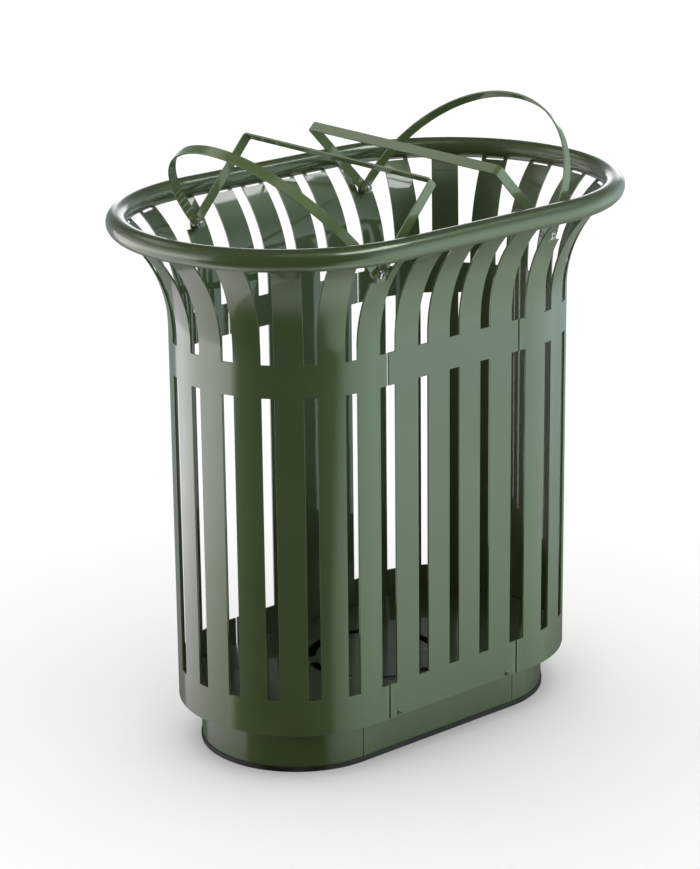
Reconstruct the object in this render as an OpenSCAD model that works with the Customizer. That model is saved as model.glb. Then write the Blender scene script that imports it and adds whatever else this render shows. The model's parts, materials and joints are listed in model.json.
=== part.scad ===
// Outdoor litter bin for two bags: slotted sheet-steel basket with a flared
// mouth, round tube rim, recessed plinth and four folding bag hoops.
// Plan shape everywhere is an oval of two half circles joined by straights.

/* [Basket] */
// Outside radius of the half-round ends, also half the depth of the basket
body_r = 190; // [170:1:210]
// Distance from the centre to the centre of each half-round end
end_x = 160; // [140:1:180]
// Thickness of the sheet steel
sheet = 3; // [2:0.5:4]
// Height of the basket's lower edge above the ground
body_z = 75; // [65:1:90]
// Height of the top of the bottom band, where the lower slots start
low_band_top = 132; // [120:1:150]
// Height of the underside of the middle band
mid_band_z = 614; // [580:1:640]
// Height of the top of the middle band, where the fingers start
mid_band_top = 665; // [650:1:668]

/* [Slots] */
// Width of a slot between two slats
slot_w = 20; // [14:1:24]
// Distance between slots along the flat panels
slot_pitch = 64; // [60:1:68]
// Angle between slots around the half-round ends
slot_step = 19.3; // [18.5:0.1:19.5]
// Distance from a half-round end's centre back to the joint between panels
seam_in = 25; // [22:1:28]
// Width of the slot that straddles a joint between panels
seam_slot_w = 30; // [26:1:32]
// Open gap in the bands at a joint between panels
seam_gap = 3; // [1:0.5:4]

/* [Rim and flare] */
// Diameter of the rim tube
rim_tube_d = 33.7; // [30:0.1:36]
// Wall of the rim tube
rim_wall = 2; // [1.5:0.5:3]
// How far the rim's centre line stands out beyond the basket's wall
rim_out = 72; // [70:1:74]
// Overall height, to the top of the rim
overall_h = 860; // [850:1:870]
// Height of the flare, from where it starts to the top of the rim
flare_h = 180; // [179:1:181]
// Radius of the flare, on its outer face
flare_r = 205; // [203:1:207]

/* [Plinth and floor] */
// Outside radius of the recessed plinth
plinth_r = 155; // [140:1:165]
// Height of the floor plate's top face above the basket's lower edge
floor_up = 13; // [12:1:16]
// Height of the rubber edging around the foot
edging_h = 8; // [6:1:12]
// Radius of the broken ring cut through the floor, to the slit's centre
ring_r = 103; // [90:1:110]
// Width of the ring's slits
ring_slit = 16; // [10:1:18]

/* [Hoops] */
// Distance from a half-round end's centre out to the pivot axis
pivot_out = 14; // [13:0.5:15]
// Depth of the pivot axes below the top of the rim
pivot_down = 63; // [62.5:0.5:63.5]
// Width of the hoops' flat bar
bar_w = 16; // [12:1:16]
// Thickness of the hoops' flat bar
bar_t = 3; // [2.5:0.5:3]
// Distance from a pivot axis to the far face of a centre hoop
centre_hoop_l = 164; // [140:1:166]
// Raised angle of the left end hoop above horizontal
left_end_tilt = 52; // [8:1:80]
// Raised angle of the left centre hoop above horizontal
left_centre_tilt = 49; // [8:1:80]
// Raised angle of the right centre hoop above horizontal
right_centre_tilt = 47; // [8:1:80]
// Raised angle of the right end hoop above horizontal
right_end_tilt = 51; // [8:1:80]

/* [Hidden] */

$fn = 96;
paint = "#5f7358";
paint_dark = "#55684e";
zinc = "#9aa09a";
black = "#1c1c1c";

seam_x = end_x - seam_in;
rim_r = body_r + rim_out;
rim_z = overall_h - rim_tube_d / 2;
// Hairline left between parts that touch
hair_gap = 0.02;
flare_z = overall_h - flare_h;
flare_cx = body_r + flare_r;
flare_sweep = 49;
finger_top = overall_h + 20;

// Cutters: how far they run past a face, and the zone that holds the wall
over = 1;
wall_in = 30;
wall_out = 60;
wall_zone = rim_out + wall_in + wall_out;

// Fingers: notch at each tip that leaves two weld ears
ear_w = 7;
ear_gap = 4;

// End fingers, in the end panel's own frame (centre of the half circle at 0)
first_slot_angle = 90 - 4 * slot_step;
finger_half = body_r * sin(slot_step / 2) - slot_w / 2;
pivot_finger_edge = body_r * sin(first_slot_angle) - slot_w / 2;

// Pivot lug, bent up from half of the finger next to each joint
pivot_x = end_x + pivot_out;
pivot_z = overall_h - pivot_down;
lug_r = 9;
lug_z = pivot_z - 12;
lug_notch_z = pivot_z - 9;
lug_notch_x = pivot_out - lug_r - 1;

// Stack along each pivot bolt, measured outwards from the bin's middle plane
eye_r = 8.5;
eye_t = 3.3;
eye_gap = 0.1;
bolt_r = 4;
bore_r = 4.06;
lug_y = body_r + 27.85;
centre_eye_y = lug_y - eye_gap - eye_t;
end_eye_y = centre_eye_y - eye_gap - eye_t;
centre_bar_y = centre_eye_y + (eye_t - bar_t) / 2;
end_bar_y = end_eye_y + (eye_t - bar_t) / 2;
washer_r = 8;
washer_t = 1.4;
washer_y = end_eye_y - eye_gap - washer_t;
nut_r = 7.5;
nut_t = 6.5;
nut_y = washer_y - nut_t;
bolt_head_t = 4.2;
bolt_head_r = 7;
bolt_dome_r = 9.5;
thread_gap = 0.02;

// Screws that hold each flat panel to the floor's turned-down edge
screw_x = seam_x - 20;
screw_r = 2.5;
screw_hole_r = 2.6;
screw_head_r = 5.2;
screw_head_t = 2.8;
screw_dome_r = 6.5;
screw_nut_r = 4.6;
screw_nut_t = 4;

floor_t = 3;
floor_top = body_z + floor_up;
floor_edge_z = body_z + 1;
floor_clear = 0.2;
plinth_top = floor_top - floor_t;
screw_z = plinth_top - screw_nut_r * cos(30) - floor_clear;
plinth_seam = 1;
edging_out = 1.6;
edging_grip = 0.1;
groove_z = 3;

// Bridges left between the slits: their middles, and half the angle each one takes
bridge_angles = [35, 150, 215, 290];
bridge_half = 6;

// ---- shared shapes ----

// Solid oval column, from z0 up by h
module oval(r, cx, z0, h) {
    translate([0, 0, z0]) linear_extrude(h) {
        for (side = [-1, 1])
            translate([side * cx, 0]) circle(r);
        square([2 * cx, 2 * r], center = true);
    }
}

// Wall section: x is the distance out from the middle, y is the height.
// Straight up, then a constant-radius flare, cut back to the rim tube.
module wall_section() {
    difference() {
        union() {
            translate([body_r - sheet, body_z]) square([sheet, flare_z - body_z]);
            intersection() {
                translate([flare_cx, flare_z]) difference() {
                    circle(flare_r + sheet);
                    circle(flare_r);
                }
                translate([flare_cx, flare_z]) flare_wedge();
            }
        }
        translate([rim_r, rim_z]) circle(rim_tube_d / 2 + hair_gap);
    }
}

// Sector that limits the flare's arc to its sweep
module flare_wedge() {
    reach = 2 * flare_r;
    polygon([[0, 0], [-reach, 0],
        [-reach, reach * tan(flare_sweep / 2)],
        [-reach * cos(flare_sweep), reach * sin(flare_sweep)]]);
}

// Box cutter centred on x, through the wall and its flare, between two heights
module slot_cut(x, w, z0, z1) {
    translate([x - w / 2, -rim_r - wall_out, z0]) cube([w, wall_zone, z1 - z0]);
}

// ---- flat panels ----

// Finger tips stop short of the tube except at two ears per finger
module flat_tip_notch(x0, x1) {
    translate([x0 + ear_w, -rim_r, rim_z]) rotate([0, 90, 0])
        cylinder(r = rim_tube_d / 2 + ear_gap, h = x1 - x0 - 2 * ear_w);
}

module flat_panel() {
    half = seam_x - seam_gap / 2;
    inner = slot_w / 2;
    outer = slot_pitch - slot_w / 2;
    last = seam_x - seam_slot_w / 2;
    difference() {
        translate([-half, 0, 0]) rotate([90, 0, 90]) mirror([1, 0, 0])
            linear_extrude(2 * half) wall_section();
        for (i = [-1, 0, 1]) {
            slot_cut(i * slot_pitch, slot_w, low_band_top, mid_band_z);
            slot_cut(i * slot_pitch, slot_w, mid_band_top, finger_top);
        }
        for (side = [-1, 1]) {
            slot_cut(side * seam_x, seam_slot_w, low_band_top, mid_band_z);
            slot_cut(side * seam_x, seam_slot_w, mid_band_top, finger_top);
            translate([side * screw_x, -body_r - over, screw_z]) rotate([-90, 0, 0])
                cylinder(r = screw_hole_r, h = sheet + 2 * over);
        }
        flat_tip_notch(inner, outer);
        flat_tip_notch(-outer, -inner);
        flat_tip_notch(slot_pitch + inner, last);
        flat_tip_notch(-last, -slot_pitch - inner);
    }
}

module front_panel() { color(paint) flat_panel(); }

module back_panel() { color(paint) mirror([0, 1, 0]) flat_panel(); }

// ---- end panels, built at the +X end ----

// Point at distance s along a finger's centre line, moved w to its side
function finger_point(a, s, w) = [s * cos(a) - w * sin(a), s * sin(a) + w * cos(a)];

// Wedge between two neighbouring fingers, seen from above
module gap_wedge(a) {
    before = a - slot_step / 2;
    after = a + slot_step / 2;
    polygon([finger_point(before, body_r - wall_in, finger_half),
        finger_point(before, rim_r + wall_out, finger_half),
        finger_point(after, rim_r + wall_out, -finger_half),
        finger_point(after, body_r - wall_in, -finger_half)]);
}

// Wedge between the finger that carries the pivot and the next one
module first_gap_wedge() {
    after = -90 + first_slot_angle + slot_step / 2;
    polygon([[pivot_finger_edge, -body_r + wall_in],
        [pivot_finger_edge, -rim_r - wall_out],
        finger_point(after, rim_r + wall_out, -finger_half),
        finger_point(after, body_r - wall_in, -finger_half)]);
}

// Torus around the rim tube, limited to the middle of one finger
module end_tip_notch(a) {
    notch_r = rim_tube_d / 2 + ear_gap;
    intersection() {
        rotate([0, 0, a - slot_step / 2]) rotate_extrude(angle = slot_step)
            translate([rim_r, rim_z]) circle(notch_r);
        rotate([0, 0, a]) translate([body_r, -finger_half + ear_w, rim_z - 2 * notch_r])
            cube([wall_zone, 2 * (finger_half - ear_w), 4 * notch_r]);
    }
}

// Slot in the wall below the middle band, cut outwards along +X
module end_slot_cut() {
    translate([body_r - wall_in, -slot_w / 2, low_band_top])
        cube([2 * wall_in, slot_w, mid_band_z - low_band_top]);
}

// Everything cut from the -Y half of an end panel
module end_half_cuts() {
    first = -90 + first_slot_angle;
    for (k = [0 : 3])
        rotate([0, 0, first + k * slot_step]) end_slot_cut();
    translate([0, 0, mid_band_top]) linear_extrude(finger_top - mid_band_top) {
        first_gap_wedge();
        for (k = [1 : 3])
            gap_wedge(first + k * slot_step);
    }
    for (k = [0 : 3])
        end_tip_notch(first + (k + 0.5) * slot_step);
    slot_cut(-seam_in, seam_slot_w, low_band_top, mid_band_z);
    slot_cut(-seam_in, seam_slot_w, mid_band_top, finger_top);
    translate([lug_notch_x, -rim_r - wall_out, lug_notch_z])
        cube([seam_slot_w, wall_zone, finger_top - lug_notch_z]);
}

// Upright lug with the pivot hole, on the -Y side
module pivot_lug() {
    translate([pivot_out, -lug_y, 0]) rotate([90, 0, 0])
        linear_extrude(sheet) difference() {
            union() {
                translate([-lug_r, lug_z]) square([2 * lug_r, pivot_z - lug_z]);
                translate([0, pivot_z]) circle(lug_r);
            }
            translate([0, pivot_z]) circle(bore_r);
        }
}

module end_panel() {
    straight = end_x - seam_x - seam_gap / 2;
    translate([end_x, 0, 0]) {
        difference() {
            union() {
                rotate([0, 0, -90]) rotate_extrude(angle = 180) wall_section();
                for (side = [0, 1])
                    mirror([0, side, 0]) translate([-straight, 0, 0])
                        rotate([90, 0, 90]) mirror([1, 0, 0])
                            linear_extrude(straight) wall_section();
            }
            for (side = [0, 1])
                mirror([0, side, 0]) end_half_cuts();
            end_slot_cut();
            translate([0, 0, mid_band_top]) linear_extrude(finger_top - mid_band_top)
                gap_wedge(0);
        }
        for (side = [0, 1])
            mirror([0, side, 0]) pivot_lug();
    }
}

module right_end_panel() { color(paint) end_panel(); }

module left_end_panel() { color(paint) mirror([1, 0, 0]) end_panel(); }

// ---- rim ----

// Closed oval ring of round bar
module oval_ring(r) {
    for (turn = [0, 180])
        rotate([0, 0, turn]) {
            translate([end_x, 0, rim_z]) rotate([0, 0, -90])
                rotate_extrude(angle = 180) translate([rim_r, 0]) circle(r);
            translate([-end_x, -rim_r, rim_z]) rotate([0, 90, 0])
                cylinder(r = r, h = 2 * end_x);
        }
}

module top_rim() {
    color(paint) difference() {
        oval_ring(rim_tube_d / 2);
        oval_ring(rim_tube_d / 2 - rim_wall);
    }
}

// ---- floor ----

// One slit of the broken ring, from angle a0 to a1
module ring_slit_cut(a0, a1) {
    rotate([0, 0, a0]) rotate_extrude(angle = a1 - a0)
        translate([ring_r - ring_slit / 2, plinth_top - over])
            square([ring_slit, floor_t + 2 * over]);
}

module floor_plate() {
    r = body_r - sheet - floor_clear;
    color(paint_dark) difference() {
        oval(r, end_x, floor_edge_z, floor_top - floor_edge_z);
        oval(r - floor_t, end_x, floor_edge_z - over, plinth_top - floor_edge_z + over);
        for (i = [0 : len(bridge_angles) - 1]) {
            wrap = i == len(bridge_angles) - 1;
            next = wrap ? bridge_angles[0] + 360 : bridge_angles[i + 1];
            ring_slit_cut(bridge_angles[i] + bridge_half, next - bridge_half);
        }
        for (side = [-1, 1])
            translate([side * screw_x, 0, screw_z]) rotate([90, 0, 0])
                cylinder(r = screw_hole_r, h = 2 * body_r, center = true);
    }
}

// ---- plinth ----

module plinth_side() {
    half = end_x - plinth_seam / 2;
    color(paint) translate([-half, -plinth_r, groove_z])
        cube([2 * half, sheet, plinth_top - groove_z]);
}

module plinth_front() { plinth_side(); }

module plinth_back() { mirror([0, 1, 0]) plinth_side(); }

module plinth_end() {
    lip = plinth_seam / 2;
    color(paint) translate([end_x, 0, groove_z]) difference() {
        cylinder(r = plinth_r, h = plinth_top - groove_z);
        translate([0, 0, -over]) cylinder(r = plinth_r - sheet, h = plinth_top);
        translate([-2 * plinth_r + lip, -plinth_r - over, -over])
            cube([2 * plinth_r, 2 * (plinth_r + over), plinth_top + 2 * over]);
    }
}

module plinth_right_end() { plinth_end(); }

module plinth_left_end() { mirror([1, 0, 0]) plinth_end(); }

// Channel-section edging that the plinth stands in
module rubber_edging() {
    out = plinth_r + edging_out;
    inn = plinth_r - sheet - edging_out;
    color(black) difference() {
        oval(out, end_x, 0, edging_h);
        oval(inn, end_x, -over, edging_h + 2 * over);
        difference() {
            oval(plinth_r + edging_grip, end_x, groove_z, edging_h);
            oval(plinth_r - sheet - edging_grip, end_x, groove_z - over,
                edging_h + 2 * over);
        }
    }
}

// ---- screws ----

module at_panel_screws() {
    for (turn = [0, 180], side = [-1, 1])
        rotate([0, 0, turn]) translate([side * screw_x, -body_r, screw_z])
            rotate([-90, 0, 0]) children();
}

// Dome-headed screws through each flat panel and the floor's edge
module panel_screws() {
    grip = sheet + floor_clear + floor_t;
    color(paint_dark) at_panel_screws() translate([0, 0, -hair_gap]) {
        cylinder(r = screw_r, h = grip + screw_nut_t + 1);
        intersection() {
            translate([0, 0, -screw_head_t]) cylinder(r = screw_head_r, h = screw_head_t);
            translate([0, 0, screw_dome_r - screw_head_t]) sphere(screw_dome_r);
        }
    }
}

module panel_nuts() {
    grip = sheet + floor_clear + floor_t;
    color(zinc) at_panel_screws() translate([0, 0, grip + hair_gap]) difference() {
        cylinder(r = screw_nut_r, h = screw_nut_t, $fn = 6);
        translate([0, 0, -over]) cylinder(r = screw_r + thread_gap, h = screw_nut_t + 2 * over);
    }
}

// ---- hoops: built flat about the pivot, s outwards along +X ----

// Round eye at the end of a leg, y0 to y0 + eye_t
module hoop_eye(y0) {
    translate([0, y0 + eye_t, 0]) rotate([90, 0, 0]) cylinder(r = eye_r, h = eye_t);
}

module eye_bore(y0) {
    translate([0, y0 + eye_t + over, 0]) rotate([90, 0, 0])
        cylinder(r = bore_r, h = eye_t + 2 * over);
}

// Half-round hoop for the end of the bin
module end_hoop_flat() {
    difference() {
        union() {
            rotate([0, 0, -90]) rotate_extrude(angle = 180)
                translate([end_bar_y, -bar_w / 2]) square([bar_t, bar_w]);
            for (side = [0, 1])
                mirror([0, side, 0]) hoop_eye(end_eye_y);
        }
        for (side = [0, 1])
            mirror([0, side, 0]) eye_bore(end_eye_y);
    }
}

// Outline with two rounded far corners, from s = 0 to l, half width w
module u_outline(l, w, r) {
    square_l = l - r;
    translate([0, -w]) square([square_l, 2 * w]);
    translate([0, -w + r]) square([l, 2 * (w - r)]);
    for (side = [-1, 1])
        translate([square_l, side * (w - r)]) circle(r);
}

// Square hoop for the middle of the bin
module centre_hoop_flat() {
    outer = centre_bar_y + bar_t;
    bend = 7;
    difference() {
        union() {
            translate([0, 0, -bar_w / 2]) linear_extrude(bar_w) difference() {
                u_outline(centre_hoop_l, outer, bend);
                translate([-over, 0])
                    u_outline(centre_hoop_l - bar_t + over, outer - bar_t, bend - bar_t);
            }
            for (side = [0, 1])
                mirror([0, side, 0]) hoop_eye(centre_eye_y);
        }
        for (side = [0, 1])
            mirror([0, side, 0]) eye_bore(centre_eye_y);
    }
}

module right_end_hoop() {
    color(paint) translate([pivot_x, 0, pivot_z])
        rotate([0, -right_end_tilt, 0]) end_hoop_flat();
}

module right_centre_hoop() {
    color(paint) translate([pivot_x, 0, pivot_z])
        mirror([1, 0, 0]) rotate([0, -right_centre_tilt, 0]) centre_hoop_flat();
}

module left_end_hoop() {
    color(paint) mirror([1, 0, 0]) translate([pivot_x, 0, pivot_z])
        rotate([0, -left_end_tilt, 0]) end_hoop_flat();
}

module left_centre_hoop() {
    color(paint) translate([-pivot_x, 0, pivot_z])
        rotate([0, -left_centre_tilt, 0]) centre_hoop_flat();
}

// ---- pivot fasteners ----

module at_pivots() {
    for (turn = [0, 180], side = [-1, 1])
        rotate([0, 0, turn]) translate([side * pivot_x, 0, pivot_z]) children();
}

// Shank through lug, two eyes and washer, with a domed head outside
module pivot_bolts() {
    shank_end = nut_y - 2;
    head_y = lug_y + sheet + hair_gap;
    color(zinc) at_pivots() {
        translate([0, -shank_end, 0]) rotate([90, 0, 0])
            cylinder(r = bolt_r, h = head_y - shank_end);
        translate([0, -head_y, 0]) rotate([90, 0, 0]) intersection() {
            cylinder(r = bolt_head_r, h = bolt_head_t);
            translate([0, 0, bolt_head_t - bolt_dome_r]) sphere(bolt_dome_r);
        }
    }
}

module pivot_washers() {
    color(zinc) at_pivots()
        translate([0, -washer_y, 0]) rotate([90, 0, 0]) difference() {
            cylinder(r = washer_r, h = washer_t);
            translate([0, 0, -over]) cylinder(r = bore_r, h = washer_t + 2 * over);
        }
}

module pivot_nuts() {
    color(zinc) at_pivots()
        translate([0, -nut_y, 0]) rotate([90, 0, 0]) difference() {
            cylinder(r = nut_r, h = nut_t - hair_gap, $fn = 6);
            translate([0, 0, -over]) cylinder(r = bolt_r + thread_gap, h = nut_t + 2 * over);
        }
}

front_panel();
back_panel();
left_end_panel();
right_end_panel();
top_rim();
floor_plate();
plinth_front();
plinth_back();
plinth_left_end();
plinth_right_end();
rubber_edging();
panel_screws();
panel_nuts();
left_end_hoop();
left_centre_hoop();
right_centre_hoop();
right_end_hoop();
pivot_bolts();
pivot_washers();
pivot_nuts();
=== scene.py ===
"""Looks of the oval slotted litter bin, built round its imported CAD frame. Metres, +Z up."""

import json
import math
import random

import bmesh
import bpy
from mathutils import Matrix, Vector


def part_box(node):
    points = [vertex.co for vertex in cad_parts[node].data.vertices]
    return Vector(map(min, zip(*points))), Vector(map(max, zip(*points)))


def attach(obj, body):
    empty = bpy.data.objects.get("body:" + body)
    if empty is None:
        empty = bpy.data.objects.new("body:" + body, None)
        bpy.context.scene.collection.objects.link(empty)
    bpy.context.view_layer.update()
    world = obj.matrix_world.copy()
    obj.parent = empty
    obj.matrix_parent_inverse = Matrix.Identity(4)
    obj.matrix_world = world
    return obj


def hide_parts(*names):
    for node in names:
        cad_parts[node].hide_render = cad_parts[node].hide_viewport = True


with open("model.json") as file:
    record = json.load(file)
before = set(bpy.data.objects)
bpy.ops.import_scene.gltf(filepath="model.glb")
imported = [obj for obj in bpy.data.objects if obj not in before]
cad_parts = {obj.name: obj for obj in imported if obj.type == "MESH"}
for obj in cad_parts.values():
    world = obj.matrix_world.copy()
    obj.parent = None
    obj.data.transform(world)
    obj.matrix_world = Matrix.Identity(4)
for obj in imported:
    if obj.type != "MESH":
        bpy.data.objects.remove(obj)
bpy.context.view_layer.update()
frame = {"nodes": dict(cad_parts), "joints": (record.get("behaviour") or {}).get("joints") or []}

# ---- sizes read from the frame ----

MM = 0.001
RIM_LOW, RIM_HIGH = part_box("top_rim")
TUBE_R = (RIM_HIGH.z - RIM_LOW.z) / 2
RIM_Z = RIM_LOW.z + TUBE_R
RIM_R = RIM_HIGH.y - TUBE_R
END_X = RIM_HIGH.x - TUBE_R - RIM_R
PANEL_LOW, PANEL_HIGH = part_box("front_panel")
BODY_Z = PANEL_LOW.z
PLINTH_LOW, PLINTH_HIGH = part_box("plinth_front")
SHEET = PLINTH_HIGH.y - PLINTH_LOW.y
PLINTH_R = -PLINTH_LOW.y
TRAY_LOW, TRAY_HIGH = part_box("floor_plate")
TRAY_CLEAR = 0.2 * MM
BODY_R = TRAY_HIGH.y + TRAY_CLEAR + SHEET
JOINTS = {joint["child"]: joint for joint in frame["joints"]}
PIVOT_X = abs(JOINTS["right_end_hoop"]["pos_m"][0])
PIVOT_Z = JOINTS["right_end_hoop"]["pos_m"][2]

# ---- sizes of the cut-outs and bends, as the CAD design has them; angles in degrees ----

SLOT_W = 20 * MM
SLOT_PITCH = 64 * MM
SLOT_STEP = 19.3
SEAM_SLOT_W = 30 * MM
SEAM_GAP = 3 * MM
SEAM_X = PANEL_HIGH.x + SEAM_GAP / 2
LOW_BAND_TOP = 132 * MM
MID_BAND_Z = 614 * MM
MID_BAND_TOP = 665 * MM
FLARE_Z = 680 * MM
FLARE_R = 205 * MM
EAR_W = 7 * MM
EAR_GAP = 4 * MM
WELD_DEPTH = 0.6 * MM
LUG_R = 9 * MM
LUG_Z = PIVOT_Z - 12 * MM
LUG_NOTCH_Z = PIVOT_Z - 9 * MM
LUG_Y = BODY_R + 27.85 * MM
LUG_GAP = 1 * MM
BORE_R = 4.06 * MM
RING_R = 103 * MM
RING_SLIT = 16 * MM
BRIDGES = (35, 150, 215, 290)
BRIDGE_HALF = 6
FOLDED_ANGLE = 8
BAR_W = 16 * MM
BAR_T = 3 * MM
EYE_R = 8.5 * MM
EYE_T = 3.3 * MM
EYE_GAP = 0.1 * MM
BAR_START = BORE_R + 1.4 * MM
CENTRE_HOOP_L = 164 * MM
CENTRE_HOOP_BEND = 7 * MM


# ---- mesh helpers ----

def finish_piece(bm, name, edge, node, material, body="basket"):
    """Turns bm into a smooth piece with rounded edges that stands for a CAD node."""
    bmesh.ops.recalc_face_normals(bm, faces=bm.faces)
    mesh = bpy.data.meshes.new(name)
    bm.to_mesh(mesh)
    bm.free()
    piece = bpy.data.objects.new(name, mesh)
    bpy.context.scene.collection.objects.link(piece)
    mesh.shade_smooth()
    if edge:
        round_edges(piece, edge)
    mesh.materials.append(material)
    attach(piece, body)
    if node:
        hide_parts(node)


def round_edges(piece, width, limit=35):
    """Small rounds along every edge sharper than limit degrees, with flat faces left flat."""
    bevel = piece.modifiers.new("edge_rounds", "BEVEL")
    bevel.width = width
    bevel.segments = 2
    bevel.limit_method = "ANGLE"
    bevel.angle_limit = math.radians(limit)
    bevel.harden_normals = True
    bevel.use_clamp_overlap = True


def thick_sheet(faces, place):
    """Closed sheet. faces are rings of keys seen from outside; place(key, side) is a point,
    with side 0 on the outer face and 1 on the inner face."""
    bm = bmesh.new()
    made = {}

    def vert(key, side):
        if (key, side) not in made:
            made[key, side] = bm.verts.new(place(key, side))
        return made[key, side]

    border = set()
    for ring in faces:
        bm.faces.new([vert(key, 0) for key in ring])
        bm.faces.new([vert(key, 1) for key in reversed(ring)])
        for edge in zip(ring, ring[1:] + ring[:1]):
            if edge[::-1] in border:
                border.remove(edge[::-1])
            else:
                border.add(edge)
    for a, b in sorted(border, key=str):
        bm.faces.new([vert(b, 0), vert(a, 0), vert(a, 1), vert(b, 1)])
    return bm


def sweep(profile, stations, closed=True):
    """Solid swept along stations of (base x, base y, outward angle); profile is (out, up)."""
    bm = bmesh.new()
    rings = []
    for x, y, angle in stations:
        c, s = math.cos(angle), math.sin(angle)
        rings.append([bm.verts.new((x + out * c, y + out * s, up)) for out, up in profile])
    following = rings[1:] + rings[:1] if closed else rings[1:]
    for ring, after in zip(rings, following):
        for k in range(len(profile)):
            m = (k + 1) % len(profile)
            bm.faces.new([ring[k], after[k], after[m], ring[m]])
    if not closed:
        bm.faces.new(rings[0])
        bm.faces.new(rings[-1])
    return bm


def arc_stations(x, y, start, stop, steps):
    """Stations round a centre, from one angle to another, in degrees."""
    turn = [math.radians(start + (stop - start) * k / steps) for k in range(steps + 1)]
    return [(x, y, a) for a in turn]


def oval_stations(steps=72):
    """Stations all the way round the bin's oval."""
    return arc_stations(END_X, 0, -90, 90, steps) + arc_stations(-END_X, 0, 90, 270, steps)


def ring_plate(bm, y0, y1, outer, inner, steps=32):
    """Flat ring between y0 and y1, round the Y axis."""
    turn = [2 * math.pi * k / steps for k in range(steps)]
    loops = []
    for r, y in ((outer, y0), (outer, y1), (inner, y1), (inner, y0)):
        loops.append([bm.verts.new((r * math.cos(a), y, r * math.sin(a))) for a in turn])
    for loop, after in zip(loops, loops[1:] + loops[:1]):
        for k in range(steps):
            m = (k + 1) % steps
            bm.faces.new([loop[k], loop[m], after[m], after[k]])


def mirrored(bm, axis):
    """The same solid, mirrored across the plane square to axis 0, 1 or 2."""
    factors = [1, 1, 1]
    factors[axis] = -1
    bmesh.ops.scale(bm, vec=factors, verts=bm.verts)
    bmesh.ops.reverse_faces(bm, faces=bm.faces)
    return bm


# ---- node helpers ----

class Shader:
    """Short way to add and link shader nodes."""

    def __init__(self, tree):
        self.tree = tree
        tree.nodes.clear()

    def add(self, kind, inputs=None, **settings):
        node = self.tree.nodes.new(kind)
        for key, value in settings.items():
            setattr(node, key, value)
        for key, value in (inputs or {}).items():
            if isinstance(value, bpy.types.NodeSocket):
                self.tree.links.new(value, node.inputs[key])
            else:
                node.inputs[key].default_value = value
        return node

    def math(self, operation, a, b=0.0):
        return self.add("ShaderNodeMath", {0: a, 1: b}, operation=operation).outputs[0]

    def smooth(self, value, low, high, to_low=0.0, to_high=1.0):
        node = self.add("ShaderNodeMapRange", {"Value": value, "From Min": low, "From Max": high,
                                               "To Min": to_low, "To Max": to_high},
                        interpolation_type="SMOOTHSTEP")
        return node.outputs["Result"]

    def noise(self, vector, scale, detail=2.0, roughness=0.5):
        node = self.add("ShaderNodeTexNoise", {"Vector": vector, "Scale": scale, "Detail": detail,
                                               "Roughness": roughness})
        return node.outputs["Fac"]

    def mix(self, fac, a, b):
        node = self.add("ShaderNodeMix", {0: fac, 6: a, 7: b}, data_type="RGBA")
        return node.outputs[2]


# ---- materials ----

def new_material(name):
    material = bpy.data.materials.new(name)
    material.use_nodes = True
    return material, Shader(material.node_tree)


# Linear colours, and noise scales for coordinates in metres
GLOSS_TINT = (0.74, 1.0, 0.78, 1)
DUST_COLOUR = (0.22, 0.25, 0.18, 1)
# Lighter green for sharp edges: partly worn paint, partly a painted highlight
WORN_AND_HIGHLIGHT_COLOUR = (0.20, 0.26, 0.16, 1)
STAIN_COLOUR = (0.10, 0.12, 0.075, 1)
ZINC_DULL = (0.36, 0.37, 0.35, 1)
ZINC_BRIGHT = (0.55, 0.56, 0.53, 1)
RUBBER_CLEAN = (0.006, 0.006, 0.007, 1)
RUBBER_BLOOM = (0.018, 0.018, 0.018, 1)
CLOUD_SCALE = 6.0
WAVE_SCALE = 7.0
DUST_SCALE = 900.0
PEEL_SCALE = 420.0
SPANGLE_SCALE = 700.0
STAIN_SCALE = 160.0
BLOOM_SCALE = 40.0
GRAIN_SCALE = 1500.0
PAINT_IOR = 1.5


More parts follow.
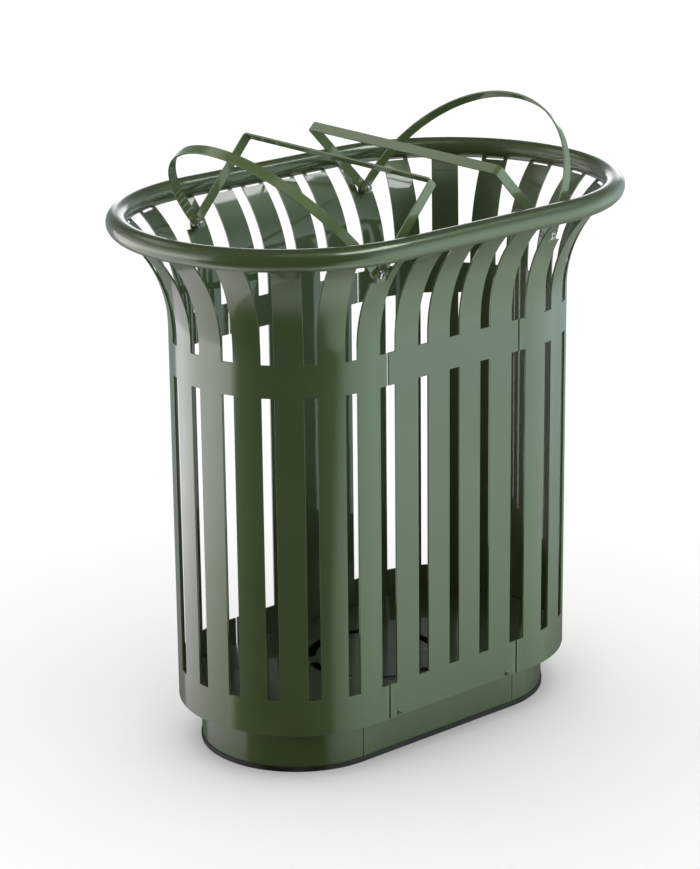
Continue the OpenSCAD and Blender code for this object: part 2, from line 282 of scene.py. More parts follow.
def paint(name, colour, wave):
    """Gloss enamel over sheet steel: orange peel, faint waves, dust, and sharp edges lighter in
    patches, partly thin worn paint and partly a painted highlight.
    """
    material, sh = new_material(name)
    place = sh.add("ShaderNodeTexCoord").outputs["Object"]
    cloudy = sh.noise(place, CLOUD_SCALE, 3.0)
    specks = sh.noise(place, DUST_SCALE, 2.0, 0.7)
    dust = sh.smooth(specks, 0.66, 0.8)
    peel = sh.noise(place, PEEL_SCALE, 1.0)
    waves = sh.noise(place, WAVE_SCALE, 1.5)
    edges = sh.add("ShaderNodeNewGeometry").outputs["Pointiness"]
    # Sharp edges go lighter in patches: partly thin worn paint, partly a painted edge highlight.
    worn_and_highlit_edges = sh.math("MULTIPLY", sh.smooth(edges, 0.53, 0.62), sh.smooth(cloudy, 0.35, 0.7))
    darker = [c * 0.86 for c in colour] + [1]
    lighter = [min(1, c * 1.16) for c in colour] + [1]
    base = sh.mix(cloudy, darker, lighter)
    base = sh.mix(sh.math("MULTIPLY", dust, 0.12), base, DUST_COLOUR)
    base = sh.mix(sh.math("MULTIPLY", worn_and_highlit_edges, 0.5), base, WORN_AND_HIGHLIGHT_COLOUR)
    gloss = sh.smooth(cloudy, 0.3, 0.7, 0.30, 0.40)
    clean_film = sh.smooth(cloudy, 0.3, 0.7, 0.02, 0.045)
    film = sh.math("ADD", sh.math("MULTIPLY", dust, 0.08), clean_film)
    big = sh.add("ShaderNodeBump", {"Height": waves, "Strength": wave, "Distance": 0.6 * MM})
    fine = sh.add("ShaderNodeBump", {"Height": peel, "Strength": 0.05, "Distance": 0.12 * MM,
                                     "Normal": big.outputs[0]})
    bsdf = sh.add("ShaderNodeBsdfPrincipled", {
        "Base Color": base, "Roughness": gloss, "IOR": PAINT_IOR, "Specular Tint": GLOSS_TINT,
        "Normal": fine.outputs[0], "Coat Weight": 0.9, "Coat Roughness": film,
        "Coat IOR": PAINT_IOR, "Coat Normal": fine.outputs[0]})
    sh.add("ShaderNodeOutputMaterial", {"Surface": bsdf.outputs[0]})
    return material


def zinc(name):
    """Zinc-plated fastener, dulled and slightly stained by overspray."""
    material, sh = new_material(name)
    place = sh.add("ShaderNodeTexCoord").outputs["Object"]
    cells = sh.add("ShaderNodeTexVoronoi", {"Vector": place, "Scale": SPANGLE_SCALE})
    spangle = cells.outputs["Distance"]
    stain = sh.smooth(sh.noise(place, STAIN_SCALE, 3.0), 0.42, 0.62)
    base = sh.mix(stain, sh.mix(spangle, ZINC_DULL, ZINC_BRIGHT), STAIN_COLOUR)
    rough = sh.smooth(stain, 0.0, 1.0, 0.28, 0.55)
    metal = sh.smooth(stain, 0.0, 1.0, 0.95, 0.25)
    bump = sh.add("ShaderNodeBump", {"Height": spangle, "Strength": 0.15, "Distance": 0.1 * MM})
    bsdf = sh.add("ShaderNodeBsdfPrincipled", {"Base Color": base, "Roughness": rough,
                                               "Metallic": metal, "Normal": bump.outputs[0]})
    sh.add("ShaderNodeOutputMaterial", {"Surface": bsdf.outputs[0]})
    return material


def rubber(name):
    """Black extruded rubber with a dusty bloom."""
    material, sh = new_material(name)
    place = sh.add("ShaderNodeTexCoord").outputs["Object"]
    bloom = sh.smooth(sh.noise(place, BLOOM_SCALE, 4.0), 0.4, 0.75)
    grain = sh.noise(place, GRAIN_SCALE, 2.0)
    base = sh.mix(bloom, RUBBER_CLEAN, RUBBER_BLOOM)
    rough = sh.smooth(bloom, 0.0, 1.0, 0.42, 0.62)
    bump = sh.add("ShaderNodeBump", {"Height": grain, "Strength": 0.25, "Distance": 0.1 * MM})
    bsdf = sh.add("ShaderNodeBsdfPrincipled", {"Base Color": base, "Roughness": rough,
                                               "Normal": bump.outputs[0]})
    sh.add("ShaderNodeOutputMaterial", {"Surface": bsdf.outputs[0]})
    return material


OLIVE = (0.034, 0.052, 0.0135)
SHEET_PAINT = paint("sheet_paint", OLIVE, 0.32)
TUBE_PAINT = paint("tube_paint", OLIVE, 0.15)
TRAY_PAINT = paint("tray_paint", [c * 0.8 for c in OLIVE], 0.7)
# The hoops' paint is the sheet's olive made 1.9 times lighter: painted light, for the brighter
# reflections the hoop bars catch from above.
LIT_HOOP_PAINT = paint("lit_hoop_paint", [c * 1.9 for c in OLIVE], 0.3)
ZINC = zinc("stained_zinc")
RUBBER = rubber("black_rubber")


# ---- slotted panels ----

def flare_point(angle, side):
    """Radius and height on the flare; side 0 is the outer face, 1 the inner face."""
    r = FLARE_R + side * SHEET
    return BODY_R + FLARE_R - r * math.cos(angle), FLARE_Z + r * math.sin(angle)


def angle_at_height(z, side):
    return math.asin((z - FLARE_Z) / (FLARE_R + side * SHEET))


def angle_near_tube(reach, side):
    """Flare angle where that face comes within reach of the rim tube's axis, by halving."""
    low, high = math.radians(30), math.radians(49)
    halvings = 40
    for _ in range(halvings):
        middle = (low + high) / 2
        r, z = flare_point(middle, side)
        if math.hypot(RIM_R - r, RIM_Z - z) > reach:
            low = middle
        else:
            high = middle
    return low


def flare_levels(start, stop, steps):
    """Levels after start up to stop; each end is a pair of angles, outer and inner."""
    return [tuple(flare_point(a + (b - a) * k / steps, side)
                  for side, (a, b) in enumerate(zip(start, stop)))
            for k in range(1, steps + 1)]


LUG_ANGLE = angle_at_height(LUG_Z, 0)
BEND_START = (LUG_ANGLE, LUG_ANGLE)
CUT = tuple(angle_at_height(LUG_NOTCH_Z, side) for side in (0, 1))
TIP = tuple(angle_near_tube(TUBE_R + EAR_GAP, side) for side in (0, 1))
EAR = tuple(angle_near_tube(TUBE_R - WELD_DEPTH, side) for side in (0, 1))
LEVELS = [((BODY_R, z), (BODY_R - SHEET, z))
          for z in (BODY_Z, LOW_BAND_TOP, MID_BAND_Z, MID_BAND_TOP, FLARE_Z)]
LEVELS += flare_levels((0, 0), BEND_START, 13)
J_LUG = len(LEVELS) - 1
LEVELS += flare_levels(BEND_START, CUT, 1)
J_CUT = len(LEVELS) - 1
LEVELS += flare_levels(CUT, TIP, 3)
J_TIP = len(LEVELS) - 1
LEVELS += flare_levels(TIP, EAR, 1)
J_EAR = len(LEVELS) - 1

# How far up each kind of column reaches above the middle band, as a level
REACH = {"slot": 3, "seam": 3, "ear": J_EAR, "mid": J_TIP, "strip": J_EAR,
         "cut": J_CUT, "lug": J_LUG}


def filled(kind, j):
    """Whether the cell between levels j and j + 1 is steel in a column of that kind."""
    if j in (0, 2):
        return True
    if j == 1:
        return kind not in ("slot", "seam")
    return j < REACH[kind]


def spread(low, high, steps):
    return [low + (high - low) * k / steps for k in range(steps + 1)]


def finger_columns(low, high, steps):
    """Side positions across one finger, and the kind of each cell between them."""
    sides = [low] + spread(low + EAR_W, high - EAR_W, steps) + [high]
    return sides, ["ear"] + ["mid"] * steps + ["ear"]


def grid_faces(kinds):
    return [[(i, j), (i + 1, j), (i + 1, j + 1), (i, j + 1)]
            for i, kind in enumerate(kinds) for j in range(J_EAR) if filled(kind, j)]


def flat_panel():
    """Front panel, seen from -Y; also returns where its ears meet the tube."""
    near = (SLOT_W / 2, SLOT_PITCH - SLOT_W / 2)
    far = (SLOT_PITCH + SLOT_W / 2, SEAM_X - SEAM_SLOT_W / 2)
    fingers = [(-far[1], -far[0]), (-near[1], -near[0]), near, far]
    columns, kinds, ears = [-PANEL_HIGH.x], ["seam"], []
    for n, (low, high) in enumerate(fingers):
        across, cells = finger_columns(low, high, 3)
        columns += across
        kinds += cells + (["slot"] if n < 3 else ["seam"])
        ears += [low + EAR_W / 2, high - EAR_W / 2]
    columns.append(PANEL_HIGH.x)

    def place(key, side):
        r, z = LEVELS[key[1]][side]
        return (columns[key[0]], -r, z)

    return thick_sheet(grid_faces(kinds), place), ears


def round_end(angle, across, r):
    """Plan point at radius r, moved across from a direction, in the right end's own frame."""
    if angle == -90 and across < 0:
        return across, -r
    turn = math.radians(angle) + math.asin(across / r)
    return r * math.cos(turn), r * math.sin(turn)


def end_panel():
    """Right end panel with its two pivot lugs; also returns where its ears meet the tube."""
    first = -SLOT_STEP * 4
    finger_half = BODY_R * math.sin(math.radians(SLOT_STEP / 2)) - SLOT_W / 2
    pivot_out = PIVOT_X - END_X
    near = SEAM_SLOT_W / 2 - (END_X - SEAM_X)
    far = BODY_R * math.cos(math.radians(first)) - SLOT_W / 2
    lug_cells = 4
    lug = spread(pivot_out - LUG_R, pivot_out + LUG_R, lug_cells)
    notch = lug[0] - LUG_GAP
    across = [PANEL_HIGH.x + SEAM_GAP - END_X] + spread(near, 0, 2) + [notch]
    across += lug + [(lug[-1] + far) / 2, far]
    columns = [(-90, w) for w in across]
    kinds = ["seam"] + ["strip"] * 3 + ["cut"] + ["lug"] * lug_cells + ["cut"] * 2
    lug_first = kinds.index("lug")
    ears = [(-90, (near + notch) / 2)]
    for k in range(4):
        slot_angle = first + k * SLOT_STEP
        columns.append((slot_angle, 0))
        side_steps, cells = finger_columns(-finger_half, finger_half, 4)
        columns += [(slot_angle + SLOT_STEP / 2, w) for w in side_steps]
        kinds += ["slot", "slot"] + cells
        ears += [(slot_angle + SLOT_STEP / 2, side * (finger_half - EAR_W / 2)) for side in (-1, 1)]
    columns.append((0, 0))
    kinds.append("slot")
    middle = len(columns) - 1

    # The lug: a short bend from the finger's slope to upright, then a plate with a hole
    plate_y = LUG_Y + SHEET
    start_y, start_z = flare_point(LUG_ANGLE, 0)
    bend = (plate_y - start_y) / (1 - math.cos(LUG_ANGLE))
    bend_z = start_z + bend * math.sin(LUG_ANGLE)
    bend_steps = 4
    faces = grid_faces(kinds)
    for i in range(lug_first, lug_first + lug_cells):
        rows = [(i, J_LUG)] + [("bend", i, m) for m in range(1, bend_steps + 1)]
        after = [(i + 1, J_LUG)] + [("bend", i + 1, m) for m in range(1, bend_steps + 1)]
        faces += [[rows[m], after[m], after[m + 1], rows[m + 1]] for m in range(bend_steps)]
    outline = [("bend", lug_first + c, bend_steps) for c in range(lug_cells + 1)]
    outline += [("top", 22.5 * n) for n in range(9)]
    hole = [("hole", 210 + 30 * c) for c in range(lug_cells + 1)]
    hole += [("hole", 22.5 * n) for n in range(9)]
    for k in range(len(outline)):
        m = (k + 1) % len(outline)
        faces.append([outline[k], outline[m], hole[m], hole[k]])

    def place(key, side):
        if key[0] == "mirror":
            x, y, z = place(key[1], side)
            return (x, -y, z)
        if key[0] == "bend":
            share = 1 - key[2] / bend_steps
            turn = LUG_ANGLE * share
            r = plate_y - bend + (bend - side * SHEET) * math.cos(turn)
            w = columns[key[1]][1]
            y = share * math.sqrt(r * r - w * w) + (1 - share) * r
            return (END_X + w, -y, bend_z - (bend - side * SHEET) * math.sin(turn))
        if key[0] in ("top", "hole"):
            turn = math.radians(key[1])
            r = LUG_R if key[0] == "top" else BORE_R
            x, z = PIVOT_X + r * math.cos(turn), PIVOT_Z + r * math.sin(turn)
            return (x, side * SHEET - plate_y, z)
        r, z = LEVELS[key[1]][side]
        x, y = round_end(*columns[key[0]], r)
        return (END_X + x, y, z)

    def other(key):
        return key if key[0] == middle else ("mirror", key)

    faces += [[other(key) for key in reversed(ring)] for ring in faces]
    ears += [(-angle, -w) for angle, w in ears[1:]]
    return thick_sheet(faces, place), ears


SHEET_EDGE = 0.45 * MM
flat, flat_ears = flat_panel()
finish_piece(flat, "front_panel_sheet", SHEET_EDGE, "front_panel", SHEET_PAINT)
finish_piece(mirrored(flat_panel()[0], 1), "back_panel_sheet", SHEET_EDGE, "back_panel",
             SHEET_PAINT)
end, end_ears = end_panel()
finish_piece(end, "right_end_panel_sheet", SHEET_EDGE, "right_end_panel", SHEET_PAINT)
finish_piece(mirrored(end_panel()[0], 0), "left_end_panel_sheet", SHEET_EDGE, "left_end_panel",
             SHEET_PAINT)


# ---- rim and its welds ----

def circle_profile(out, up, r, steps):
    turn = [2 * math.pi * k / steps for k in range(steps)]
    return [(out + r * math.cos(a), up + r * math.sin(a)) for a in turn]


rim_profile = circle_profile(RIM_R, RIM_Z, TUBE_R, 48)
finish_piece(sweep(rim_profile, oval_stations()), "rim_tube", 0, "top_rim", TUBE_PAINT)

BEAD_HALF = (0.52 * EAR_W, 1.7 * MM, 1.5 * MM)
BEAD_TILT = 0.15
BEAD_LUMPS = 0.10


def weld_beads():
    """One flattened, uneven bead across each ear, where it meets the tube."""
    rng = random.Random(7)
    r, z = flare_point(EAR[0], 0)
    spots = []
    for w in flat_ears:
        spots += [(w, -r, 0), (w, r, 180)]
    for angle, w in end_ears:
        x, y = round_end(angle, w, r)
        on_straight = angle == -90 and w <= 0
        turn = 90 + angle + (0 if on_straight else math.degrees(math.asin(w / r)))
        spots += [(END_X + x, y, turn), (-END_X - x, y, -turn)]
        if angle == -90:
            spots += [(END_X + x, -y, 180 - turn), (-END_X - x, -y, turn - 180)]
    bm = bmesh.new()
    for x, y, turn in spots:
        size = Vector(BEAD_HALF) * rng.uniform(0.9, 1.15)
        tilt = Matrix.Rotation(rng.uniform(-BEAD_TILT, BEAD_TILT), 4, "Y")
        made = bmesh.ops.create_icosphere(bm, subdivisions=3, radius=1)["verts"]
        for v in made:
            wave = math.sin(7 * v.co.x + 40 * x) * math.cos(5 * v.co.y + 30 * y)
            lump = 1 + BEAD_LUMPS * wave
            v.co = Vector((v.co.x * size.x, v.co.y * size.y, v.co.z * size.z)) * lump
        turned = Matrix.Rotation(math.radians(turn), 4, "Z") @ tilt
        bmesh.ops.transform(bm, matrix=Matrix.Translation((x, y, z)) @ turned, verts=made)
    return bm


finish_piece(weld_beads(), "rim_weld_beads", 0, None, TUBE_PAINT)


# ---- foot ----

def rectangle(inner, outer, low, high):
    return [(inner, low), (outer, low), (outer, high), (inner, high)]


plinth_wall = rectangle(PLINTH_R - SHEET, PLINTH_R, PLINTH_LOW.z, PLINTH_HIGH.z)
side_run = [(x, 0, math.radians(-90)) for x in spread(PLINTH_LOW.x, PLINTH_HIGH.x, 8)]
finish_piece(sweep(plinth_wall, side_run, False), "plinth_front_sheet", SHEET_EDGE,
             "plinth_front", SHEET_PAINT)
finish_piece(mirrored(sweep(plinth_wall, side_run, False), 1), "plinth_back_sheet", SHEET_EDGE,
             "plinth_back", SHEET_PAINT)
seam_turn = math.degrees(math.asin((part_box("plinth_right_end")[0].x - END_X) / PLINTH_R))
end_run = arc_stations(END_X, 0, -90 + seam_turn, 90 - seam_turn, 64)
finish_piece(sweep(plinth_wall, end_run, False), "plinth_right_end_sheet", SHEET_EDGE,
             "plinth_right_end", SHEET_PAINT)
finish_piece(mirrored(sweep(plinth_wall, end_run, False), 0), "plinth_left_end_sheet", SHEET_EDGE,
             "plinth_left_end", SHEET_PAINT)

EDGING_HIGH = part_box("rubber_edging")[1]
LIP = EDGING_HIGH.y - PLINTH_R
GRIP = 0.1 * MM
inner_groove = PLINTH_R - SHEET - GRIP
outer_groove = PLINTH_R + GRIP
inner_lip = PLINTH_R - SHEET - LIP
edging = [(inner_lip, 0), (EDGING_HIGH.y, 0), (EDGING_HIGH.y, EDGING_HIGH.z),
          (outer_groove, EDGING_HIGH.z), (outer_groove, PLINTH_LOW.z),
          (inner_groove, PLINTH_LOW.z), (inner_groove, EDGING_HIGH.z),
          (inner_lip, EDGING_HIGH.z)]
RUBBER_EDGE = 0.5 * MM
finish_piece(sweep(edging, oval_stations()), "edging_strip", RUBBER_EDGE, "rubber_edging", RUBBER)


# ---- floor tray ----

def oval_reach(r, turn):
    """Distance from the centre to an oval of radius r, along a direction."""
    c, s = abs(math.cos(turn)), abs(math.sin(turn))
    if s > 1e-9 and r / s * c <= END_X:
        return r / s
    return END_X * c + math.sqrt(r * r - (END_X * s) ** 2)


TRAY_EDGE = 0.4 * MM
TRAY_CORNER = 4 * MM
TRAY_MIDDLE_R = 40 * MM
SLIT_END_SHARE = 0.12


def floor_tray():
    """Plate with a turned-down edge and a ring of slits that leaves four bridges. Keys are
    (degree, station): 0 the middle disc's rim, 1 and 2 the slit's sides, 3 to 7 the rounded
    corner, 8 the lower edge."""
    corner_steps = 4
    cap = math.degrees(math.asin(RING_SLIT / 2 / RING_R))

    def slit_depth(degree):
        """Degrees from the nearest end of the slit at this direction; negative on a bridge."""
        away = min(abs((degree - b + 180) % 360 - 180) for b in BRIDGES)
        return away - BRIDGE_HALF

    def place(key, side):
        degree, station = key
        turn = math.radians(degree)
        z = TRAY_HIGH.z - side * SHEET
        if station == 0:
            r = TRAY_MIDDLE_R
        elif station in (1, 2):
            depth = min(max(slit_depth(degree) / cap, 0.0), 1.0)
            rounded = max(math.sqrt(1 - (1 - depth) ** 2), SLIT_END_SHARE)
            half = RING_SLIT / 2 * (rounded if slit_depth(degree) >= 0 else 1)
            r = RING_R + (half if station == 2 else -half)
        elif station <= 3 + corner_steps:
            bent = math.radians(90) * (station - 3) / corner_steps
            radius = TRAY_CORNER - side * SHEET
            r = oval_reach(TRAY_HIGH.y - TRAY_CORNER + radius * math.sin(bent), turn)
            z = TRAY_HIGH.z - TRAY_CORNER + radius * math.cos(bent)
        else:
            r = oval_reach(TRAY_HIGH.y - side * SHEET, turn)
            z = TRAY_LOW.z
        return (r * math.cos(turn), r * math.sin(turn), z)

    faces = [[(degree, 0) for degree in range(360)]]
    for degree in range(360):
        after = (degree + 1) % 360
        for station in range(4 + corner_steps):
            slit = station == 1 and slit_depth(degree) >= 0 and slit_depth(after) >= 0
            if not slit:
                faces.append([(degree, station), (degree, station + 1),
                              (after, station + 1), (after, station)])
    return thick_sheet(faces, place)


finish_piece(floor_tray(), "floor_tray", TRAY_EDGE, "floor_plate", TRAY_PAINT)


# ---- hoops, built level round their pivot at the origin and reaching along +X ----

CENTRE_EYE_Y = LUG_Y - EYE_GAP - EYE_T
END_EYE_Y = CENTRE_EYE_Y - EYE_GAP - EYE_T
HOOP_EDGE = 0.5 * MM


def bar_profile(inner, outer):
    return rectangle(inner, outer, -BAR_W / 2, BAR_W / 2)


def end_hoop():
    inner = END_EYE_Y + (EYE_T - BAR_T) / 2
    clear = math.degrees(math.asin(BAR_START / inner))
    stations = arc_stations(0, 0, -90 + clear, 90 - clear, 90)
    bm = sweep(bar_profile(inner, inner + BAR_T), stations, False)
    for side in (-1, 1):
        ring_plate(bm, side * END_EYE_Y, side * (END_EYE_Y + EYE_T), EYE_R, BORE_R)
    return bm


def centre_hoop():
    outer = CENTRE_EYE_Y + (EYE_T - BAR_T) / 2 + BAR_T
    far_x = CENTRE_HOOP_L - CENTRE_HOOP_BEND
    corner_y = outer - CENTRE_HOOP_BEND
    leg = (BAR_START, far_x - 0.1 * MM)
    stations = [(x, -corner_y, math.radians(-90)) for x in leg]
    stations += arc_stations(far_x, -corner_y, -90, 0, 8)
    stations += arc_stations(far_x, corner_y, 0, 90, 8)
    stations += [(x, corner_y, math.radians(90)) for x in reversed(leg)]
    bm = sweep(bar_profile(CENTRE_HOOP_BEND - BAR_T, CENTRE_HOOP_BEND), stations, False)
    for side in (-1, 1):
        ring_plate(bm, side * CENTRE_EYE_Y, side * (CENTRE_EYE_Y + EYE_T), EYE_R, BORE_R)
    return bm


def place_hoop(bm, body):
    """Raises a flat hoop to its rest angle and moves it to its pivot."""
    joint = JOINTS[body]
    tilt = FOLDED_ANGLE - joint["range_deg"][0]
    bmesh.ops.rotate(bm, matrix=Matrix.Rotation(math.radians(-tilt), 3, "Y"), verts=bm.verts)
    if joint["axis"][1] > 0:
        mirrored(bm, 0)
    bmesh.ops.translate(bm, vec=joint["pos_m"], verts=bm.verts)
    finish_piece(bm, body + "_bar", HOOP_EDGE, body, LIT_HOOP_PAINT, body=body)


for side in ("left", "right"):
    place_hoop(end_hoop(), side + "_end_hoop")
    place_hoop(centre_hoop(), side + "_centre_hoop")


# ---- turned fasteners; loops of (radius, height, hexagon?) run from the tip to the socket ----

def lathe(bm, loops, place, steps):
    """Closed turned shape; a hexagon loop's radius is half its width across flats."""
    rings = []
    for r, up, hexagon in loops:
        ring = []
        for k in range(steps):
            turn = 2 * math.pi * k / steps
            reach = r
            if hexagon:
                reach = r / math.cos((turn + math.pi / 6) % (math.pi / 3) - math.pi / 6)
            point = Vector((reach * math.cos(turn), reach * math.sin(turn), up))
            ring.append(bm.verts.new(place @ point))
        rings.append(ring)
    for ring, after in zip(rings, rings[1:]):
        for k in range(steps):
            m = (k + 1) % steps
            bm.faces.new([ring[k], ring[m], after[m], after[k]])
    bm.faces.new(list(reversed(rings[0])))
    bm.faces.new(rings[-1])


def dome_loops(radii, dome_r, height):
    """Domed top of a head, from its edge inward; height is the full dome's."""
    return [(r, math.sqrt(dome_r ** 2 - r ** 2) - dome_r + height, False) for r in radii]


def at_four_corners(loops, x, y, z, steps):
    """The same fastener at both ends of both sides, with its head pointing outward."""
    bm = bmesh.new()
    for side in (-1, 1):
        for face in (-1, 1):
            out = Matrix.Rotation(math.radians(-90 * face), 4, "X")
            lathe(bm, loops, Matrix.Translation((side * x, face * y, z)) @ out, steps)
    return bm


# ---- button-head screws through the flat panels ----

SCREW_SHANK_R = 2.5 * MM
SCREW_SHANK_L = 11.2 * MM
SCREW_HEAD_R = 5.2 * MM
SCREW_HEAD_T = 2.8 * MM
SCREW_DOME_R = 6.5 * MM
SCREW_DOME = (SCREW_HEAD_R, 4.7 * MM, 4.0 * MM, 3.2 * MM, 2.4 * MM)
SCREW_SOCKET_HALF = 1.5 * MM
SCREW_SOCKET_DEPTH = 1.7 * MM
SCREW_EDGE = 0.12 * MM


def panel_screws():
    low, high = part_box("panel_screws")
    dome = dome_loops(SCREW_DOME, SCREW_DOME_R, SCREW_HEAD_T)
    top = dome[-1][1]
    loops = [(SCREW_SHANK_R - 0.5 * MM, -SCREW_SHANK_L, False),
             (SCREW_SHANK_R, 0.5 * MM - SCREW_SHANK_L, False),
             (SCREW_SHANK_R, 0, False),
             (SCREW_HEAD_R - 0.2 * MM, 0, False)]
    loops += dome
    loops += [(SCREW_SOCKET_HALF, top, True),
              (SCREW_SOCKET_HALF, top - SCREW_SOCKET_DEPTH, True),
              (0.6 * MM, top - SCREW_SOCKET_DEPTH - 0.3 * MM, False)]
    return at_four_corners(loops, high.x - SCREW_HEAD_R, BODY_R, (low.z + high.z) / 2, 24)


finish_piece(panel_screws(), "socket_screws", SCREW_EDGE, "panel_screws", SHEET_PAINT)


# ---- pivot bolts: button heads outside the lugs, threaded ends inside the nuts ----

BOLT_R = 4 * MM
BOLT_L = 19.82 * MM
BOLT_CLEAR = 0.02 * MM
BOLT_HEAD_R = 7 * MM
BOLT_HEAD_T = 4.2 * MM
BOLT_DOME_R = 9.5 * MM
BOLT_DOME = (BOLT_HEAD_R, 6.5 * MM, 5.8 * MM, 5.0 * MM, 4.0 * MM)
BOLT_SOCKET_HALF = 2.5 * MM
BOLT_SOCKET_DEPTH = 2.2 * MM
BOLT_EDGE = 0.05 * MM
THREAD_START = 0.7 * MM
THREAD_PITCH = 1.25 * MM
THREAD_ROOT_R = 3.5 * MM
THREAD_TURNS = 8


def pivot_bolts():
    loops = [(THREAD_ROOT_R, -BOLT_L, False), (BOLT_R, 0.5 * MM - BOLT_L, False)]
    for turn in range(THREAD_TURNS):
        crest = THREAD_START - BOLT_L + turn * THREAD_PITCH
        loops += [(BOLT_R, crest, False),
                  (THREAD_ROOT_R, crest + 0.4 * THREAD_PITCH, False),
                  (THREAD_ROOT_R, crest + 0.6 * THREAD_PITCH, False)]
    loops += [(BOLT_R, THREAD_START - BOLT_L + THREAD_TURNS * THREAD_PITCH, False),
              (BOLT_R, 0, False),
              (BOLT_HEAD_R, 0, False)]
    loops += dome_loops(BOLT_DOME, BOLT_DOME_R, BOLT_HEAD_T)
    top = loops[-1][1]
    loops += [(BOLT_SOCKET_HALF, top + 0.2 * MM, True),
              (BOLT_SOCKET_HALF, top - BOLT_SOCKET_DEPTH, True),
              (1 * MM, top - BOLT_SOCKET_DEPTH - 0.5 * MM, False)]
    return at_four_corners(loops, PIVOT_X, LUG_Y + SHEET + BOLT_CLEAR, PIVOT_Z, 36)


finish_piece(pivot_bolts(), "button_head_bolts", BOLT_EDGE, "pivot_bolts", ZINC)


# ---- nuts and washers keep their CAD shapes ----

NUT_EDGE = 0.35 * MM
WASHER_EDGE = 0.2 * MM


def dress(node, material, edge):
    piece = frame["nodes"][node]
    piece.data.materials.clear()
    piece.data.materials.append(material)
    round_edges(piece, edge, limit=30)


for node in ("pivot_nuts", "panel_nuts"):
    dress(node, ZINC, NUT_EDGE)
dress("pivot_washers", ZINC, WASHER_EDGE)


# ---- studio ----

FLOOR_R = 45
FLOOR_TONES = ((0.90, 0.90, 0.90, 1), (0.93, 0.93, 0.925, 1))


def pale_floor():
    material, sh = new_material("pale_floor")
    place = sh.add("ShaderNodeTexCoord").outputs["Object"]
    tone = sh.mix(sh.noise(place, 3.0, 2.0), *FLOOR_TONES)
    bsdf = sh.add("ShaderNodeBsdfDiffuse", {"Color": tone})
    sh.add("ShaderNodeOutputMaterial", {"Surface": bsdf.outputs[0]})
    bm = bmesh.new()
    bmesh.ops.create_circle(bm, cap_ends=True, segments=96, radius=FLOOR_R)
    mesh = bpy.data.meshes.new("studio_floor")
    bm.to_mesh(mesh)
    bm.free()
    mesh.materials.append(material)
    floor = bpy.data.objects.new("studio_floor", mesh)
    bpy.context.scene.collection.objects.link(floor)
    floor.visible_glossy = False


# What reflections see round the bin: azimuth (0 at -Y, 90 at -X) and share of full brightness
AROUND = [(-180, 0.14), (-130, 0.12), (-105, 0.22), (-88, 0.36), (-72, 0.64), (-45, 0.8),
          (-14, 0.74), (-4, 0.5), (4, 0.0), (94, 0.0), (100, 0.75), (125, 0.8), (142, 0.7),
          (166, 0.58), (180, 0.2)]
# The same by elevation
UPWARD = [(-90, 0.30), (-62, 0.7), (-40, 0.9), (-14, 1.0), (5, 0.85), (18, 0.6), (28, 0.22),
          (46, 0.15), (60, 0.05), (90, 0.04)]
# Extra soft boxes: azimuth and its half width, elevation from and to, edge softness, strength
BOXES = [(-33, 35, 47, 52, 0.7, 9.0), (-33, 35, 53.2, 61, 0.7, 9.0),
         (224, 16, -3, 15, 4, 1.9), (160, 22, 34, 50, 6, 1.0), (30, 30, 60, 78, 7, 0.7),
         (42, 180, -90, -56, 12, 1.05), (138, 40, -19.8, 4, 2, 1.38)]
TENT_R = 30
TENT_POWER = 2.9
RIGHT_HIGH = (0.82, 1.0, 0.97, 1)
RIGHT_LOW = (0.86, 1.0, 0.85, 1)
LEFT_TINT = (1.04, 1.0, 1.03, 1)
DARK_SIDE = 0.03
# The tent's pattern shifts this many degrees each way between its low and its high part
LEAN = 7.8


def curve(sh, value, stops, low, high):
    """Piecewise-linear value through stops, as a colour ramp."""
    position = sh.math("DIVIDE", sh.math("SUBTRACT", value, low), high - low)
    ramp = sh.add("ShaderNodeValToRGB", {"Fac": position})
    while len(ramp.color_ramp.elements) < len(stops):
        ramp.color_ramp.elements.new(0.5)
    for element, (at, level) in zip(ramp.color_ramp.elements, stops):
        element.position = (at - low) / (high - low)
        element.color = (level, level, level, 1)
    return ramp.outputs["Color"]


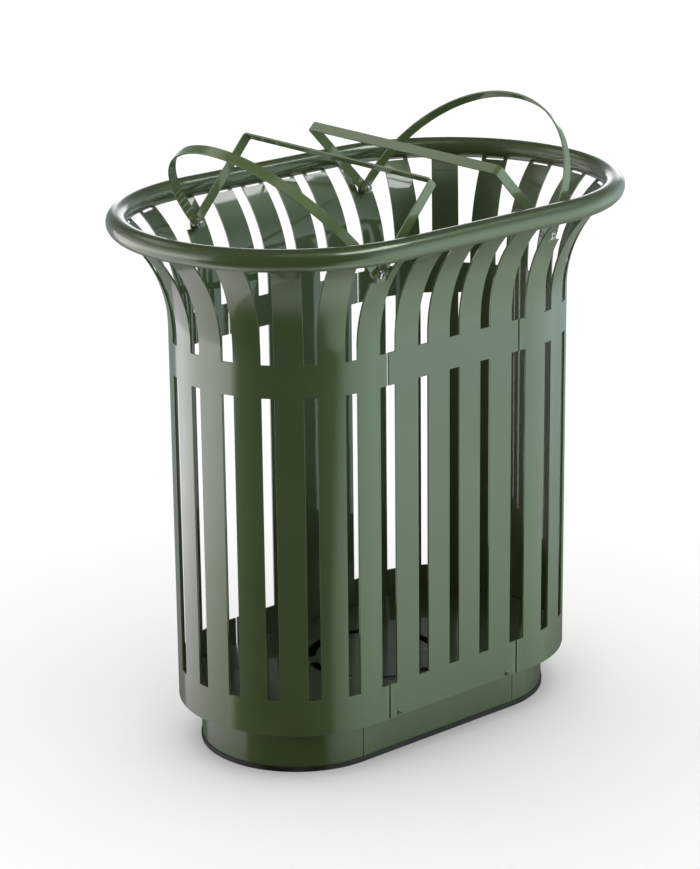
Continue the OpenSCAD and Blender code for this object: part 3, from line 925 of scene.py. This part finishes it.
def light_tent():
    """Round tent that only reflections see: bright to the right and left, dark at the camera."""
    material, sh = new_material("light_tent")
    place = sh.add("ShaderNodeTexCoord").outputs["Object"]
    unit = sh.add("ShaderNodeVectorMath", {0: place}, operation="NORMALIZE").outputs[0]
    x, y, z = sh.add("ShaderNodeSeparateXYZ", {0: unit}).outputs
    left, front = sh.math("MULTIPLY", x, -1), sh.math("MULTIPLY", y, -1)
    azimuth = sh.math("DEGREES", sh.math("ARCTAN2", left, front))
    elevation = sh.math("DEGREES", sh.math("ARCSINE", z))
    lean = sh.smooth(elevation, -23, -11, -LEAN, LEAN)
    around = curve(sh, sh.math("ADD", azimuth, lean), AROUND, -180, 180)
    upward = curve(sh, elevation, UPWARD, -90, 90)
    right = sh.mix(sh.smooth(elevation, -23, -15), RIGHT_LOW, RIGHT_HIGH)
    tint = sh.mix(sh.smooth(azimuth, 40, 60), right, LEFT_TINT)
    level = sh.math("MULTIPLY", sh.math("MULTIPLY", around, upward), TENT_POWER)
    glow = sh.add("ShaderNodeVectorMath", {0: tint, "Scale": level}, operation="SCALE").outputs[0]
    extra = DARK_SIDE
    for middle, half, low, high, soft, strength in BOXES:
        off = sh.math("SUBTRACT", azimuth, middle)
        turns = sh.math("ROUND", sh.math("DIVIDE", off, 360))
        off = sh.math("ABSOLUTE", sh.math("SUBTRACT", off, sh.math("MULTIPLY", turns, 360)))
        inside = sh.smooth(off, half - soft, half + soft, 1.0, 0.0)
        above = sh.smooth(elevation, low - soft, low + soft)
        below = sh.smooth(elevation, high - soft, high + soft, 1.0, 0.0)
        patch = sh.math("MULTIPLY", sh.math("MULTIPLY", inside, above), below)
        extra = sh.math("ADD", extra, sh.math("MULTIPLY", patch, strength))
    glow = sh.add("ShaderNodeVectorMath", {0: glow, 1: extra}, operation="ADD").outputs[0]
    emission = sh.add("ShaderNodeEmission", {"Color": glow, "Strength": 1.0})
    sh.add("ShaderNodeOutputMaterial", {"Surface": emission.outputs[0]})
    bm = bmesh.new()
    bmesh.ops.create_uvsphere(bm, u_segments=64, v_segments=32, radius=TENT_R)
    reflections_only(bm, "light_tent", material)


def reflections_only(bm, name, material):
    """Stage piece that nothing but a reflection can see."""
    mesh = bpy.data.meshes.new(name)
    bm.to_mesh(mesh)
    bm.free()
    mesh.materials.append(material)
    card = bpy.data.objects.new(name, mesh)
    bpy.context.scene.collection.objects.link(card)
    card.visible_camera = False
    card.visible_diffuse = False
    card.visible_shadow = False
    card.visible_transmission = False


SHADE_R = 6
SHADE_Z = -0.004
SHADE_REACH = 0.28
SHADE_LEAST = 0.22


def ground_shade():
    """Dims reflections of the ground toward the foot, and blacks them out beneath it."""
    material, sh = new_material("ground_shade")
    place = sh.add("ShaderNodeTexCoord").outputs["Object"]
    x, y, z = sh.add("ShaderNodeSeparateXYZ", {0: place}).outputs
    along = sh.math("MAXIMUM", sh.math("SUBTRACT", sh.math("ABSOLUTE", x), END_X), 0.0)
    squares = sh.math("ADD", sh.math("MULTIPLY", along, along), sh.math("MULTIPLY", y, y))
    away = sh.math("SUBTRACT", sh.math("SQRT", squares), PLINTH_R)
    open_ground = sh.math("DIVIDE", away, sh.math("ADD", away, SHADE_REACH))
    passed = sh.math("ADD", sh.math("MULTIPLY", open_ground, 1 - SHADE_LEAST), SHADE_LEAST)
    outside = sh.smooth(away, -2 * MM, 4 * MM)
    share = sh.math("MULTIPLY", passed, outside)
    tone = sh.mix(share, (0, 0, 0, 1), (1, 1, 1, 1))
    clear = sh.add("ShaderNodeBsdfTransparent", {"Color": tone})
    sh.add("ShaderNodeOutputMaterial", {"Surface": clear.outputs[0]})
    bm = bmesh.new()
    bmesh.ops.create_circle(bm, cap_ends=True, segments=64, radius=SHADE_R)
    bmesh.ops.translate(bm, vec=(0, 0, SHADE_Z), verts=bm.verts)
    reflections_only(bm, "ground_shade", material)


SKY_COLOUR = (1.0, 1.0, 0.99, 1)
SKY_POWER = 1.16


def plain_world():
    world = bpy.data.worlds.new("plain_studio")
    bpy.context.scene.world = world
    world.use_nodes = True
    sh = Shader(world.node_tree)
    sky = sh.add("ShaderNodeBackground", {"Color": SKY_COLOUR, "Strength": SKY_POWER})
    sh.add("ShaderNodeOutputWorld", {"Surface": sky.outputs[0]})


CAMERA_AZIMUTH = -40.7
CAMERA_ELEVATION = 18.16
CAMERA_ROLL = -0.62
CAMERA_TARGET = (-0.0474, 0, 0.4727)
CAMERA_DISTANCE = 4.5675
LENS_MM = 120.55
SENSOR_MM = 36


def camera():
    """The photograph's viewpoint, aimed at about the bin's middle height."""
    azimuth = math.radians(CAMERA_AZIMUTH)
    elevation = math.radians(CAMERA_ELEVATION)
    roll = math.radians(CAMERA_ROLL)
    level = math.cos(elevation)
    back = Vector((math.sin(azimuth) * level, -math.cos(azimuth) * level, math.sin(elevation)))
    right = Vector((math.cos(azimuth), math.sin(azimuth), 0))
    up = back.cross(right)
    side = right * math.cos(roll) + up * math.sin(roll)
    top = up * math.cos(roll) - right * math.sin(roll)
    place = Vector(CAMERA_TARGET) + back * CAMERA_DISTANCE
    data = bpy.data.cameras.new("camera")
    data.lens = LENS_MM
    data.sensor_width = SENSOR_MM
    cam = bpy.data.objects.new("camera", data)
    cam.matrix_world = Matrix.Translation(place) @ Matrix((side, top, back)).transposed().to_4x4()
    bpy.context.scene.collection.objects.link(cam)
    bpy.context.scene.camera = cam


pale_floor()
light_tent()
ground_shade()
plain_world()
camera()
bpy.context.scene.view_settings.view_transform = "Standard"
